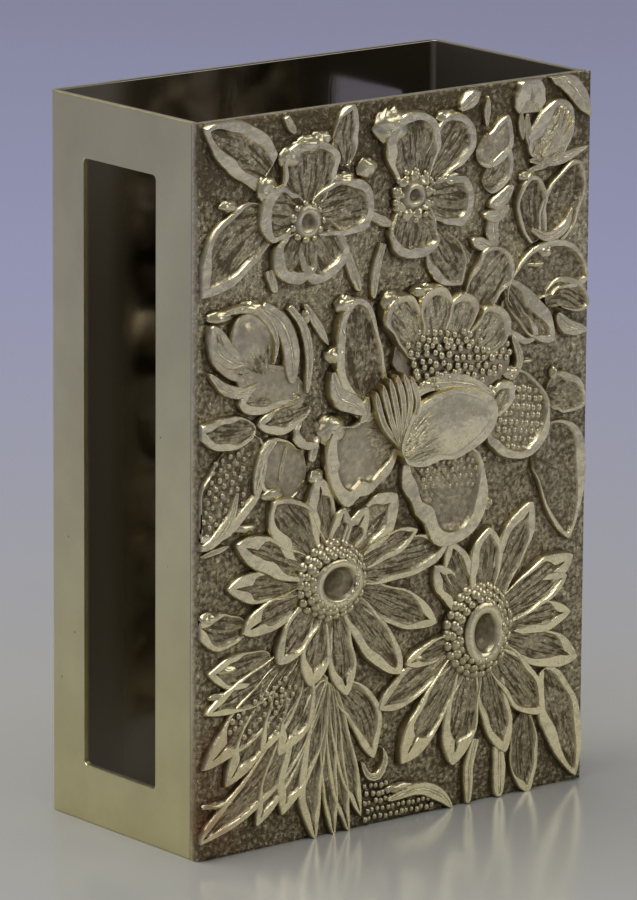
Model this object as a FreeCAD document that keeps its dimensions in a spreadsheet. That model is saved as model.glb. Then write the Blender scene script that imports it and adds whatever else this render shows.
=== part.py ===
import FreeCAD, Part
import os
import Sketcher

# A silver sleeve for a pocket matchbox: a folded body with a window in each side, a front panel
# with raised flowers and leaves, and two runs of solder that join them.
# Frame: +Z up, the back faces +Y, the relief faces -Y, and the origin is the middle of the underside.

Vector = FreeCAD.Vector
doc = FreeCAD.newDocument("matchbox_holder")

# Driving sizes in millimetres.
SIZES = {
    # The pocket matchbox that slides through, and its room on each side.
    "matchbox_width": 35.6,
    "matchbox_depth": 16.4,
    "slide_clearance": 0.2,
    "holder_height": 55.0,
    # The folded body: its sheet, the inside of its two bends and the metal left round each window.
    "body_sheet": 0.6,
    "bend_inner_radius": 0.4,
    "window_back_margin": 4.4,
    "window_front_margin": 4.2,
    "window_top_margin": 4.5,
    "window_bottom_margin": 4.4,
    "window_corner_radius": 0.4,
    # The front panel, and the solder between it and the sides.
    "front_sheet": 0.8,
    "solder_film": 0.1,
    "solder_leg": 0.3,
    # How far each kind of raised form stands above the front sheet.
    "poppy_cup_height": 1.6,
    "poppy_rib_height": 1.2,
    "poppy_petal_height": 0.8,
    "primrose_height": 0.7,
    "primrose_boss_height": 0.75,
    "daisy_boss_height": 1.0,
    "daisy_petal_height": 0.6,
    "bud_height": 0.65,
    "leaf_height": 0.5,
    # How far the sides of a raised form lean in on the way up, and the raised middles of the flowers.
    "relief_draw_in": 0.2,
    "daisy_boss_radius": 3.2,
    "primrose_boss_radius": 1.7,
    # The worn rounding of the cut edges.
    "edge_round": 0.1,
}

sheet = doc.addObject("Spreadsheet::Sheet", "Sizes")
for row, (alias, value) in enumerate(SIZES.items(), start=1):
    sheet.set(f"A{row}", alias)
    sheet.set(f"B{row}", str(value))
    sheet.setAlias(f"B{row}", alias)
doc.recompute()


def size(alias):
    """The number that the sheet holds under this name."""
    return float(sheet.get(alias))


# Formulas that more than one feature uses.
RELIEF_HEIGHTS = (
    "poppy_cup_height", "poppy_rib_height", "poppy_petal_height", "primrose_height", "primrose_boss_height",
    "daisy_boss_height", "daisy_petal_height", "bud_height", "leaf_height",
)
INNER_WIDTH = "(Sizes.matchbox_width + 2 * Sizes.slide_clearance)"
INNER_DEPTH = "(Sizes.matchbox_depth + 2 * Sizes.slide_clearance)"
OUTER_WIDTH = f"({INNER_WIDTH} + 2 * Sizes.body_sheet)"
SIDE_DEPTH = f"(Sizes.body_sheet + {INNER_DEPTH} - Sizes.solder_film)"
RELIEF_REACH = "max(" + "; ".join("Sizes." + alias for alias in RELIEF_HEIGHTS) + ")"
BACK_FACE = f"((Sizes.body_sheet + {INNER_DEPTH} + Sizes.front_sheet + {RELIEF_REACH}) / 2)"
PANEL_INNER_FACE = f"({BACK_FACE} - Sizes.body_sheet - {INNER_DEPTH})"


def new_body(name, **place):
    """An empty body whose placement is given as formulas, such as y=BACK_FACE."""
    body = doc.addObject("PartDesign::Body", name)
    body.Label = name
    for axis, formula in place.items():
        body.setExpression("Placement.Base." + axis, formula)
    return body


def new_sketch(body, name, plane_role, across="0", up="0"):
    """A sketch on one of the body's own planes, with its corner moved by two formulas."""
    sketch = body.newObject("Sketcher::SketchObject", name)
    plane = next(item for item in body.Origin.OriginFeatures if item.Role == plane_role)
    sketch.AttachmentSupport = (plane, [""])
    sketch.MapMode = "FlatFace"
    sketch.setExpression("AttachmentOffset.Base.x", across)
    sketch.setExpression("AttachmentOffset.Base.y", up)
    return sketch


def drive(sketch, name, formula, *constraint):
    """Add one dimension to a sketch and tie it to the sheet."""
    index = sketch.addConstraint(Sketcher.Constraint(*constraint))
    sketch.renameConstraint(index, name)
    sketch.setExpression("Constraints." + name, formula)


def rectangle(sketch, width, height):
    """A rectangle from the sketch's own corner; its spans are formulas."""
    corners = [Vector(0, 0), Vector(1, 0), Vector(1, 1), Vector(0, 1)]
    for place, corner in enumerate(corners):
        sketch.addGeometry(Part.LineSegment(corner, corners[(place + 1) % 4]))
    for place in range(4):
        sketch.addConstraint(Sketcher.Constraint("Coincident", place, 2, (place + 1) % 4, 1))
        direction = "Horizontal" if place % 2 == 0 else "Vertical"
        sketch.addConstraint(Sketcher.Constraint(direction, place))
    sketch.addConstraint(Sketcher.Constraint("Coincident", 0, 1, -1, 1))
    drive(sketch, "width", width, "DistanceX", 0, 1, 0, 2, 1)
    drive(sketch, "height", height, "DistanceY", 1, 1, 1, 2, 1)


def pad(body, sketch, length):
    """Raise a sketch into a solid of the given length."""
    feature = body.newObject("PartDesign::Pad", sketch.Name + "_pad")
    feature.Profile = sketch
    feature.setExpression("Length", length)
    doc.recompute()
    return feature


def cut_through(body, sketch):
    """Cut a sketch through the whole body, both ways, and make sure that metal came off."""
    before = body.Shape.Volume
    feature = body.newObject("PartDesign::Pocket", sketch.Name + "_cut")
    feature.Profile = sketch
    feature.SideType = "Symmetric"
    feature.Type = "ThroughAll"
    doc.recompute()
    if body.Shape.Volume >= before:
        raise RuntimeError(sketch.Name + " cut nothing")
    return feature


def round_edges(body, name, radius, chosen):
    """Round the edges of the body's last feature that the test chooses."""
    base = body.Tip
    edges = [f"Edge{place}" for place, edge in enumerate(base.Shape.Edges, start=1) if chosen(edge)]
    feature = body.newObject("PartDesign::Fillet", name)
    feature.Base = (base, edges)
    feature.setExpression("Radius", radius)
    doc.recompute()


CLOSE_ENOUGH = Part.Precision.confusion() * 1000


def runs_along(edge, axis):
    """True for a straight edge along one axis, 0 for X to 2 for Z."""
    spans = [edge.BoundBox.XLength, edge.BoundBox.YLength, edge.BoundBox.ZLength]
    spans.pop(axis)
    return max(spans) < CLOSE_ENOUGH


def lies_at(edge, axis, place):
    """True for an edge that lies whole in the plane at this place along one axis."""
    low = (edge.BoundBox.XMin, edge.BoundBox.YMin, edge.BoundBox.ZMin)[axis]
    high = (edge.BoundBox.XMax, edge.BoundBox.YMax, edge.BoundBox.ZMax)[axis]
    return max(abs(low - place), abs(high - place)) < CLOSE_ENOUGH


# Folded body: one strip bent twice, with a window sawn in each side.
# Its own origin is the middle of the lower edge of its back face.
holder_height = size("holder_height")
inner_width = size("matchbox_width") + 2 * size("slide_clearance")
outer_width = inner_width + 2 * size("body_sheet")
inner_depth = size("matchbox_depth") + 2 * size("slide_clearance")
side_depth = size("body_sheet") + inner_depth - size("solder_film")

folded_body = new_body("folded_body", y=BACK_FACE)
outside = new_sketch(folded_body, "body_outside", "XY_Plane", f"-{OUTER_WIDTH} / 2", f"-{SIDE_DEPTH}")
rectangle(outside, OUTER_WIDTH, SIDE_DEPTH)
pad(folded_body, outside, "Sizes.holder_height")

inside = new_sketch(folded_body, "body_inside", "XY_Plane", f"-{INNER_WIDTH} / 2", f"-{SIDE_DEPTH}")
rectangle(inside, INNER_WIDTH, f"{SIDE_DEPTH} - Sizes.body_sheet")
cut_through(folded_body, inside)

round_edges(
    folded_body, "bends_outside", "Sizes.bend_inner_radius + Sizes.body_sheet",
    lambda edge: runs_along(edge, 2) and lies_at(edge, 1, 0),
)
round_edges(
    folded_body, "bends_inside", "Sizes.bend_inner_radius",
    lambda edge: runs_along(edge, 2) and lies_at(edge, 1, -size("body_sheet")),
)

window = new_sketch(
    folded_body, "side_window", "YZ_Plane",
    f"-{SIDE_DEPTH} + Sizes.window_front_margin", "Sizes.window_bottom_margin",
)
rectangle(
    window,
    f"{SIDE_DEPTH} - Sizes.window_front_margin - Sizes.window_back_margin",
    "Sizes.holder_height - Sizes.window_bottom_margin - Sizes.window_top_margin",
)
cut_through(folded_body, window)


def at_rim(edge):
    """True for an edge of the top or the bottom rim."""
    return lies_at(edge, 2, 0) or lies_at(edge, 2, holder_height)


round_edges(
    folded_body, "window_corners", "Sizes.window_corner_radius",
    lambda edge: runs_along(edge, 0) and not at_rim(edge),
)


def round_window(edge):
    """True for an edge round a window, on the outer or the inner face of a side."""
    faces = (outer_width / 2, -outer_width / 2, inner_width / 2, -inner_width / 2)
    on_side = any(lies_at(edge, 0, face) for face in faces)
    inside_rims = edge.BoundBox.ZMin > CLOSE_ENOUGH and edge.BoundBox.ZMax < holder_height - CLOSE_ENOUGH
    return on_side and inside_rims


round_edges(
    folded_body, "worn_edges", "Sizes.edge_round",
    lambda edge: round_window(edge) or (at_rim(edge) and not lies_at(edge, 1, -side_depth)),
)


# Solder seams: a film between the panel and the edge of each side, and a hollow fillet in the corner inside.
# Each seam's own origin is the inner corner, and it ends just inside the two rims.
def solder_seam(name, hand):
    """One run of solder; the hand is -1 on the left and 1 on the right."""
    body = new_body(name, x=f"{hand} * {INNER_WIDTH} / 2", y=PANEL_INNER_FACE, z="Sizes.edge_round")
    length = "Sizes.holder_height - 2 * Sizes.edge_round"

    film = new_sketch(body, name + "_film", "XY_Plane", f"({hand} - 1) / 2 * Sizes.body_sheet")
    rectangle(film, "Sizes.body_sheet", "Sizes.solder_film")
    pad(body, film, length)

    fillet = new_sketch(body, name + "_fillet", "XY_Plane", f"({-hand} - 1) / 2 * Sizes.solder_leg")
    rectangle(fillet, "Sizes.solder_leg", "Sizes.solder_leg")
    pad(body, fillet, length)

    hollow = new_sketch(
        body, name + "_hollow", "XY_Plane", f"{-hand} * Sizes.solder_leg", "Sizes.solder_leg",
    )
    hollow.addGeometry(Part.Circle(Vector(0, 0), Vector(0, 0, 1), 1))
    hollow.addConstraint(Sketcher.Constraint("Coincident", 0, 3, -1, 1))
    drive(hollow, "radius", "Sizes.solder_leg", "Radius", 0, 1)
    cut_through(body, hollow)
    return body


seams = [solder_seam("solder_seam_left", -1), solder_seam("solder_seam_right", 1)]

# Front panel: the flat sheet first. Its own origin is the middle of the lower edge of its inner face.
flat_sheet = new_body("flat_front_sheet", y=PANEL_INNER_FACE)
ground = new_sketch(flat_sheet, "front_ground", "XY_Plane", f"-{OUTER_WIDTH} / 2", "-Sizes.front_sheet")
rectangle(ground, OUTER_WIDTH, "Sizes.front_sheet")
pad(flat_sheet, ground, "Sizes.holder_height")
round_edges(
    flat_sheet, "front_worn_edges", "Sizes.edge_round",
    lambda edge: lies_at(edge, 1, -size("front_sheet")),
)

# The raised forms. Places are shares of the panel's width and height from its lower left corner, and
# widths are shares of its width. Each leaf is a foot, a place halfway along, a tip and a width.
LEAF_SHARES = [
    # Top corner and left edge.
    ((0.178, 0.922), (0.100, 0.962), (0.018, 0.992), 0.113),
    ((0.190, 0.862), (0.100, 0.832), (0.008, 0.766), 0.134),
    ((0.372, 0.915), (0.372, 0.960), (0.392, 1.000), 0.070),
    ((0.150, 0.578), (0.075, 0.578), (-0.002, 0.590), 0.075),
    ((0.265, 0.490), (0.215, 0.515), (0.175, 0.562), 0.124),
    ((0.150, 0.570), (0.090, 0.500), (0.000, 0.440), 0.145),
    ((0.130, 0.310), (0.060, 0.310), (-0.005, 0.326), 0.078),
    ((0.190, 0.262), (0.110, 0.250), (0.030, 0.255), 0.080),
    # Between the flowers at the top and down the right edge.
    ((0.660, 0.970), (0.686, 0.981), (0.712, 0.992), 0.035),
    ((0.705, 0.905), (0.755, 0.912), (0.788, 0.955), 0.080),
    ((0.725, 0.862), (0.765, 0.875), (0.792, 0.912), 0.070),
    ((0.800, 0.856), (0.770, 0.838), (0.735, 0.832), 0.038),
    ((0.790, 0.828), (0.758, 0.818), (0.720, 0.822), 0.035),
    ((0.596, 0.806), (0.632, 0.765), (0.672, 0.728), 0.097),
    ((0.845, 0.952), (0.846, 0.977), (0.848, 1.002), 0.090),
    ((0.900, 1.000), (0.955, 0.980), (1.005, 0.935), 0.045),
    ((0.900, 0.562), (0.950, 0.555), (1.003, 0.535), 0.091),
    ((0.895, 0.505), (0.945, 0.460), (0.975, 0.350), 0.102),
    ((0.905, 0.168), (0.945, 0.100), (0.990, 0.002), 0.108),
    # The two sprays at the lower left, and the leaves along the bottom.
    ((0.262, 0.262), (0.150, 0.225), (0.020, 0.200), 0.075),
    ((0.258, 0.256), (0.140, 0.185), (0.016, 0.124), 0.091),
    ((0.258, 0.250), (0.160, 0.165), (0.072, 0.094), 0.086),
    ((0.262, 0.248), (0.215, 0.185), (0.160, 0.132), 0.075),
    ((0.268, 0.245), (0.260, 0.180), (0.205, 0.122), 0.086),
    ((0.330, 0.222), (0.180, 0.100), (0.000, 0.022), 0.091),
    ((0.318, 0.212), (0.220, 0.110), (0.150, 0.030), 0.081),
    ((0.325, 0.203), (0.260, 0.110), (0.215, 0.038), 0.091),
    ((0.332, 0.195), (0.290, 0.080), (0.302, -0.010), 0.065),
    ((0.340, 0.188), (0.338, 0.080), (0.350, -0.010), 0.048),
    ((0.348, 0.182), (0.360, 0.080), (0.390, -0.010), 0.048),
    ((0.356, 0.190), (0.385, 0.090), (0.420, 0.012), 0.054),
    ((0.360, 0.205), (0.425, 0.160), (0.452, 0.090), 0.086),
    ((0.722, 0.088), (0.705, 0.050), (0.702, -0.005), 0.030),
    ((0.785, 0.072), (0.785, 0.035), (0.785, -0.005), 0.038),
    ((0.855, 0.112), (0.850, 0.050), (0.862, -0.010), 0.081),
    ((0.490, 0.028), (0.600, 0.030), (0.662, -0.005), 0.035),
]
BUD_SHARES = [
    # The petals wrapped round the half-open rose at the left.
    ((0.032, 0.722), (0.058, 0.684), (0.118, 0.669), 0.035),
    ((0.165, 0.738), (0.230, 0.697), (0.240, 0.632), 0.051),
    ((0.232, 0.735), (0.272, 0.685), (0.270, 0.618), 0.030),
    ((0.030, 0.664), (0.090, 0.635), (0.155, 0.643), 0.032),
    ((0.255, 0.625), (0.170, 0.618), (0.100, 0.618), 0.065),
    ((0.285, 0.595), (0.220, 0.585), (0.148, 0.585), 0.059),
    ((0.290, 0.580), (0.275, 0.560), (0.260, 0.540), 0.075),
    # The buds and folded petals at the upper right.
    ((0.850, 0.890), (0.910, 0.886), (0.975, 0.893), 0.030),
    ((0.900, 0.775), (0.928, 0.820), (0.965, 0.880), 0.100),
    ((0.872, 0.775), (0.852, 0.820), (0.852, 0.868), 0.081),
    ((0.848, 0.792), (0.905, 0.778), (0.955, 0.816), 0.035),
    ((0.800, 0.690), (0.890, 0.730), (0.982, 0.712), 0.118),
    ((0.890, 0.690), (0.940, 0.695), (0.998, 0.675), 0.070),
    ((0.790, 0.722), (0.850, 0.675), (0.912, 0.630), 0.078),
    ((0.785, 0.700), (0.820, 0.660), (0.872, 0.640), 0.065),
    ((0.922, 0.668), (0.950, 0.648), (1.005, 0.640), 0.038),
    ((0.695, 0.690), (0.745, 0.735), (0.790, 0.768), 0.108),
]
# Round-ended forms are a foot, a tip and a width: first the hearts of the rose and of the upper bud.
BUD_HEART_SHARES = [
    ((0.190, 0.648), (0.050, 0.732), 0.132),
    ((0.850, 0.898), (0.955, 0.942), 0.086),
]
POPPY_PETAL_SHARES = [
    # The spread petals, then the scalloped edge of the cup and the mound of seeds in it.
    ((0.455, 0.570), (0.395, 0.738), 0.124),
    ((0.510, 0.525), (0.320, 0.500), 0.178),
    ((0.535, 0.512), (0.700, 0.382), 0.194),
    ((0.740, 0.585), (0.865, 0.478), 0.172),
    ((0.565, 0.650), (0.474, 0.727), 0.091),
    ((0.602, 0.655), (0.586, 0.738), 0.089),
    ((0.640, 0.650), (0.674, 0.722), 0.078),
    ((0.690, 0.630), (0.772, 0.690), 0.094),
    ((0.500, 0.648), (0.790, 0.614), 0.140),
    ((0.530, 0.588), (0.745, 0.582), 0.050),
    ((0.720, 0.535), (0.802, 0.585), 0.065),
]
POPPY_RIB_SHARES = [
    ((0.503, 0.522), (0.462, 0.568), (0.444, 0.610), 0.027),
    ((0.503, 0.522), (0.484, 0.578), (0.466, 0.622), 0.027),
    ((0.503, 0.522), (0.507, 0.581), (0.490, 0.627), 0.027),
    ((0.503, 0.522), (0.531, 0.578), (0.516, 0.622), 0.027),
]
POPPY_CUP_SHARES = [
    ((0.505, 0.510), (0.750, 0.558), 0.150),
]
# Each flower is its heart, and the tip and width of each petal.
PRIMROSES_SHARES = [
    ((0.274, 0.849), [
        ((0.280, 0.960), 0.145), ((0.438, 0.864), 0.121), ((0.338, 0.770), 0.129), ((0.222, 0.768), 0.113),
        ((0.150, 0.872), 0.113),
    ]),
    ((0.543, 0.863), [
        ((0.532, 0.978), 0.140), ((0.684, 0.958), 0.110), ((0.696, 0.840), 0.108), ((0.538, 0.775), 0.129),
    ]),
]
DAISIES_SHARES = [
    ((0.340, 0.353), [
        ((0.075, 0.367), 0.070), ((0.110, 0.303), 0.070), ((0.200, 0.250), 0.075), ((0.285, 0.209), 0.083),
        ((0.379, 0.186), 0.070), ((0.520, 0.203), 0.086), ((0.615, 0.264), 0.081), ((0.640, 0.372), 0.089),
        ((0.560, 0.403), 0.059), ((0.508, 0.458), 0.097), ((0.430, 0.448), 0.062), ((0.368, 0.454), 0.054),
        ((0.302, 0.502), 0.075), ((0.188, 0.478), 0.108), ((0.095, 0.428), 0.078),
    ]),
    ((0.722, 0.243), [
        ((0.605, 0.347), 0.065), ((0.642, 0.378), 0.070), ((0.748, 0.388), 0.091), ((0.865, 0.412), 0.078),
        ((0.975, 0.325), 0.081), ((0.958, 0.298), 0.067), ((0.973, 0.243), 0.070), ((0.990, 0.175), 0.083),
        ((0.898, 0.104), 0.089), ((0.800, 0.058), 0.086), ((0.655, 0.056), 0.089), ((0.518, 0.075), 0.086),
        ((0.460, 0.158), 0.075), ((0.528, 0.214), 0.054),
    ]),
]
# The whole pattern sits this far across and up from its places in these tables.
PATTERN_SHIFT_SHARES = (-0.012, 0.003)
# A petal's foot is this share of its width, and its round end starts at this share of its length.
# No side is drawn in by more than this share of half its width.
PETAL_FOOT_SHARE = 0.45
PETAL_SHOULDER_SHARE = 0.65
DRAW_IN_LIMIT_SHARE = 0.5
BOSS_TOP_SHARE = 0.65


def on_panel(across_share, up_share):
    """A place on the panel, in its own frame."""
    across = across_share + PATTERN_SHIFT_SHARES[0] - 1 / 2
    return Vector(across * outer_width, 0, (up_share + PATTERN_SHIFT_SHARES[1]) * holder_height)


def flank(start, middle, end):
    """A curved flank from start to end that passes through the middle."""
    curve = Part.BezierCurve()
    curve.setPoles([start, middle * 2 - (start + end) / 2, end])
    return curve


def leaf_outline(foot, middle, tip, sideways):
    """Two curved flanks that meet in a point at the foot and at the tip."""
    return [flank(foot, middle + sideways, tip), flank(tip, middle - sideways, foot)]


def pointed_outline(foot, middle, tip, sideways):
    """A narrow foot and two curved flanks that meet in a point at the tip."""
    narrow = sideways * PETAL_FOOT_SHARE
    return [
        Part.LineSegment(foot - narrow, foot + narrow),
        flank(foot + narrow, middle + sideways, tip),
        flank(tip, middle - sideways, foot - narrow),
    ]


def round_outline(foot, middle, tip, sideways):
    """A narrow foot, straight flanks and a round end."""
    narrow = sideways * PETAL_FOOT_SHARE
    shoulder = foot + (tip - foot) * PETAL_SHOULDER_SHARE
    return [
        Part.LineSegment(foot - narrow, foot + narrow),
        Part.LineSegment(foot + narrow, shoulder + sideways),
        Part.Arc(shoulder + sideways, tip, shoulder - sideways),
        Part.LineSegment(shoulder - sideways, foot - narrow),
    ]


root_level = -size("front_sheet") / 2
relief_reach = max(size(alias) for alias in RELIEF_HEIGHTS)
trim_depth = size("front_sheet") + relief_reach
trim = Part.makeBox(
    outer_width, trim_depth, holder_height, Vector(-outer_width / 2, -trim_depth, 0),
)
raised_forms = []


def keep_form(name, shape):
    """Keep one raised form in the panel's frame, without what reaches past the edge of the sheet."""
    form = doc.addObject("Part::Feature", name)
    form.Shape = shape.common(trim)
    form.setExpression("Placement.Base.y", PANEL_INNER_FACE)
    raised_forms.append(form)


def raise_form(name, outline, path, width_share, height):
    """One raised form along a path, from its root inside the sheet to a flat top drawn in all round."""
    foot, tip = path[0], path[-1]
    middle = path[1] if len(path) == 3 else (foot + tip) / 2
    half_width = width_share * outer_width / 2
    draw_in = min(size("relief_draw_in"), half_width * DRAW_IN_LIMIT_SHARE)
    rings = []
    for level, drawn_in in ((root_level, 0), (-size("front_sheet") - height, draw_in)):
        ring_foot = foot + (middle - foot).normalize() * drawn_in
        ring_tip = tip + (middle - tip).normalize() * drawn_in
        sideways = (tip - foot).cross(Vector(0, 1, 0)).normalize() * (half_width - drawn_in)
        ring = Part.Wire([edge.toShape() for edge in outline(ring_foot, middle, ring_tip, sideways)])
        ring.translate(Vector(0, level, 0))
        rings.append(ring)
    keep_form(name, Part.makeLoft(rings, True, True))


def raise_rows(name, outline, rows, height):
    """A raised form for each row of places and a width."""
    for *places, width_share in rows:
        raise_form(name, outline, [on_panel(*place) for place in places], width_share, height)


def raise_flower(name, outline, heart_shares, petals, petal_height, boss_radius, boss_height):
    """A boss in the middle, and petals that start under its edge."""
    heart = on_panel(*heart_shares)
    for tip_shares, width_share in petals:
        tip = on_panel(*tip_shares)
        foot = heart + (tip - heart).normalize() * boss_radius * BOSS_TOP_SHARE
        raise_form(name + "_petal", outline, [foot, tip], width_share, petal_height)
    depth = size("front_sheet") + boss_height + root_level
    root = heart + Vector(0, root_level, 0)
    boss = Part.makeCone(boss_radius, boss_radius * BOSS_TOP_SHARE, depth, root, Vector(0, -1, 0))
    keep_form(name + "_boss", boss)


raise_rows("leaf", leaf_outline, LEAF_SHARES, size("leaf_height"))
raise_rows("bud", leaf_outline, BUD_SHARES, size("bud_height"))
raise_rows("bud_heart", round_outline, BUD_HEART_SHARES, size("bud_height"))
for heart_shares, petals in PRIMROSES_SHARES:
    raise_flower(
        "primrose", round_outline, heart_shares, petals, size("primrose_height"),
        size("primrose_boss_radius"), size("primrose_boss_height"),
    )
for heart_shares, petals in DAISIES_SHARES:
    raise_flower(
        "daisy", pointed_outline, heart_shares, petals, size("daisy_petal_height"),
        size("daisy_boss_radius"), size("daisy_boss_height"),
    )
raise_rows("poppy_petal", round_outline, POPPY_PETAL_SHARES, size("poppy_petal_height"))
raise_rows("poppy_rib", leaf_outline, POPPY_RIB_SHARES, size("poppy_rib_height"))
raise_rows("poppy_cup", round_outline, POPPY_CUP_SHARES, size("poppy_cup_height"))

front_panel = doc.addObject("Part::MultiFuse", "front_panel")
front_panel.Label = "front_panel"
front_panel.Shapes = [flat_sheet, *raised_forms]
doc.recompute()

# Check the whole document, then write one file for each piece.
for item in doc.Objects:
    if "Invalid" in item.State or "Error" in item.State:
        raise RuntimeError(item.Label + " failed: " + str(item.State))

pieces = [folded_body, front_panel, *seams]
for piece in pieces:
    if piece.Shape.isNull() or not piece.Shape.isValid():
        raise RuntimeError(piece.Label + " has no valid shape")
    if len(piece.Shape.Solids) != 1:
        raise RuntimeError(piece.Label + " is not one solid")

os.makedirs("parts", exist_ok=True)
for piece in pieces:
    piece.Shape.exportStep(f"parts/{piece.Label}.step")
    print(f"{piece.Label}: {piece.Shape.Volume:.2f} mm3")
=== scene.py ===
import math
import random

import bmesh
import bpy
from mathutils import Matrix, Vector
from mathutils import noise as rough_noise
from mathutils.bvhtree import BVHTree


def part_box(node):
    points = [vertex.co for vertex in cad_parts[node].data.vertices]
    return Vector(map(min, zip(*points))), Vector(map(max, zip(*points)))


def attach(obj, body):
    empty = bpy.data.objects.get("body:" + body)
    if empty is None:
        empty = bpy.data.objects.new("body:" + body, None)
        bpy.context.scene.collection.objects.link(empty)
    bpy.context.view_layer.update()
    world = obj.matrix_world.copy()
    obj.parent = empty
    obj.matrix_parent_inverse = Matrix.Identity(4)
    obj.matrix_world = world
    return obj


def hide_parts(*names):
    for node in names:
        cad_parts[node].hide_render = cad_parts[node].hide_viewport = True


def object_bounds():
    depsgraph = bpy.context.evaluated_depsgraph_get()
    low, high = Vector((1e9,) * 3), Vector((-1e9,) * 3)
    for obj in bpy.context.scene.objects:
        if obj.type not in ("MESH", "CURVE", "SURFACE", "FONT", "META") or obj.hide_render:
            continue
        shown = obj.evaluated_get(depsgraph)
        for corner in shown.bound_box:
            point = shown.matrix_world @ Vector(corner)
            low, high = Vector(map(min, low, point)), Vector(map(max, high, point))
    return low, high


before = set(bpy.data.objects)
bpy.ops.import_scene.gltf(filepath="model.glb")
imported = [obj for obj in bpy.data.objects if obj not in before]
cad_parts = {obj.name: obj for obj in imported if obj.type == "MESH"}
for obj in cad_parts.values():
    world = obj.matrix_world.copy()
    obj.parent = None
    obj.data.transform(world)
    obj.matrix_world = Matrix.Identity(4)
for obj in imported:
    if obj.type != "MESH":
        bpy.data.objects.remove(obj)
cad_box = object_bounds()

# Folded body
# One strip of sterling silver sheet, bent at the two back edges, with a window sawn in each side.
# Years of handling have rubbed the outside to a warm satin; the inside is dark with old tarnish.
MM = 0.001
body_silver_hex = "#ebe4b3"
body_dull_hex = "#d9d0a4"
body_pit_hex = "#6b6048"
body_inside_hex = "#8d867c"
scratch_spacing_mm = 0.5
pit_spacing_mm = 2.2
dull_patch_mm = 9.0
bare_half_width_mm = 12.5
inside_from_mm = (0.3, 0.5)
side_wall_to_mm = (0.9, 1.2)
scratch_depth_mm = 0.03
body_low, body_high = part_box("folded_body")


def linear(hex_colour):
    """An sRGB hex colour as linear RGBA."""
    parts = [int(hex_colour[place:place + 2], 16) / 255 for place in (1, 3, 5)]
    return [part / 12.92 if part <= 0.04045 else ((part + 0.055) / 1.055) ** 2.4 for part in parts] + [1.0]


def add_node(tree, kind, links=None, **settings):
    """Add one node; settings are its properties, links fill its sockets with values or other sockets."""
    node = tree.nodes.new(kind)
    for name, value in settings.items():
        setattr(node, name, value)
    for socket, value in (links or {}).items():
        if isinstance(value, bpy.types.NodeSocket):
            tree.links.new(value, node.inputs[socket])
        else:
            node.inputs[socket].default_value = value
    return node


def ramp(tree, value, low, high, out_low=0.0, out_high=1.0):
    """Map a value from one range to another, held at the ends."""
    node = add_node(tree, "ShaderNodeMapRange", {
        "Value": value, "From Min": low, "From Max": high, "To Min": out_low, "To Max": out_high,
    })
    return node.outputs[0]


def sum_up(tree, operation, first, second):
    """Join two values by one sum."""
    return add_node(tree, "ShaderNodeMath", {0: first, 1: second}, operation=operation).outputs[0]


def blend(tree, share, first, second):
    """Blend two colours."""
    return add_node(tree, "ShaderNodeMix", {0: share, 6: first, 7: second}, data_type="RGBA").outputs[2]


def noise(tree, place, size_mm, detail=3.0, roughness=0.6):
    """Noise with features of a size in millimetres."""
    node = add_node(tree, "ShaderNodeTexNoise", {
        "Vector": place, "Scale": 1 / (size_mm * MM), "Detail": detail, "Roughness": roughness,
    })
    return node.outputs[0]


def new_metal(name):
    """A metal material, its node tree, its shader and the piece's own coordinates."""
    material = bpy.data.materials.new(name)
    material.use_nodes = True
    tree = material.node_tree
    shader = tree.nodes["Principled BSDF"]
    shader.inputs["Metallic"].default_value = 1.0
    place = add_node(tree, "ShaderNodeTexCoord").outputs["Object"]
    return material, tree, shader, place


# Rubbed sterling silver: a broad soft sheen, duller in patches, with hair scratches along the strip.
satin_silver, tree, shader, place = new_metal("rubbed_sterling_silver")
patches = noise(tree, place, dull_patch_mm, 4.0)
stretched = add_node(tree, "ShaderNodeMapping", {"Vector": place, "Scale": (1.0, 1.0, 0.15)}).outputs[0]
scratches = noise(tree, stretched, scratch_spacing_mm, 3.0, 0.7)
pits = add_node(tree, "ShaderNodeTexVoronoi", {"Vector": place, "Scale": 1 / (pit_spacing_mm * MM)})
pit_spots = ramp(tree, pits.outputs["Distance"], 0.025, 0.05, 0.7, 0.0)
rubbed = blend(tree, ramp(tree, patches, 0.3, 0.7), linear(body_dull_hex), linear(body_silver_hex))
pitted = blend(tree, pit_spots, rubbed, linear(body_pit_hex))
spot = add_node(tree, "ShaderNodeSeparateXYZ", {0: place})
from_middle = add_node(tree, "ShaderNodeMath", {0: spot.outputs[0]}, operation="ABSOLUTE").outputs[0]
shallow, deep = (depth_mm * MM for depth_mm in inside_from_mm)
within_sides = ramp(tree, from_middle, body_high.x - deep, body_high.x - shallow, 1.0, 0.0)
within_back = ramp(tree, spot.outputs[1], body_high.y - deep, body_high.y - shallow, 1.0, 0.0)
inside = sum_up(tree, "MULTIPLY", within_sides, within_back)
tree.links.new(blend(tree, inside, pitted, linear(body_inside_hex)), shader.inputs["Base Color"])
satin = ramp(tree, scratches, 0.3, 0.7, 0.3, 0.4)
by_left_fold = ramp(
    tree, spot.outputs[0], -(bare_half_width_mm + 1.0) * MM, -(bare_half_width_mm - 2.0) * MM, 1.0, 0.0,
)
wall_near, wall_far = (depth_mm * MM for depth_mm in side_wall_to_mm)
on_side_wall = ramp(tree, from_middle, body_high.x - wall_far, body_high.x - wall_near)
inside_rough = ramp(tree, sum_up(tree, "MAXIMUM", by_left_fold, on_side_wall), 0.0, 1.0, 0.1, 0.45)
turned_in = add_node(tree, "ShaderNodeMix", {0: inside, 2: satin, 3: inside_rough}).outputs[0]
tree.links.new(turned_in, shader.inputs["Roughness"])
scratch_bump = add_node(tree, "ShaderNodeBump", {
    "Height": scratches, "Strength": 0.15, "Distance": scratch_depth_mm * MM,
})
tree.links.new(scratch_bump.outputs[0], shader.inputs["Normal"])


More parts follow.
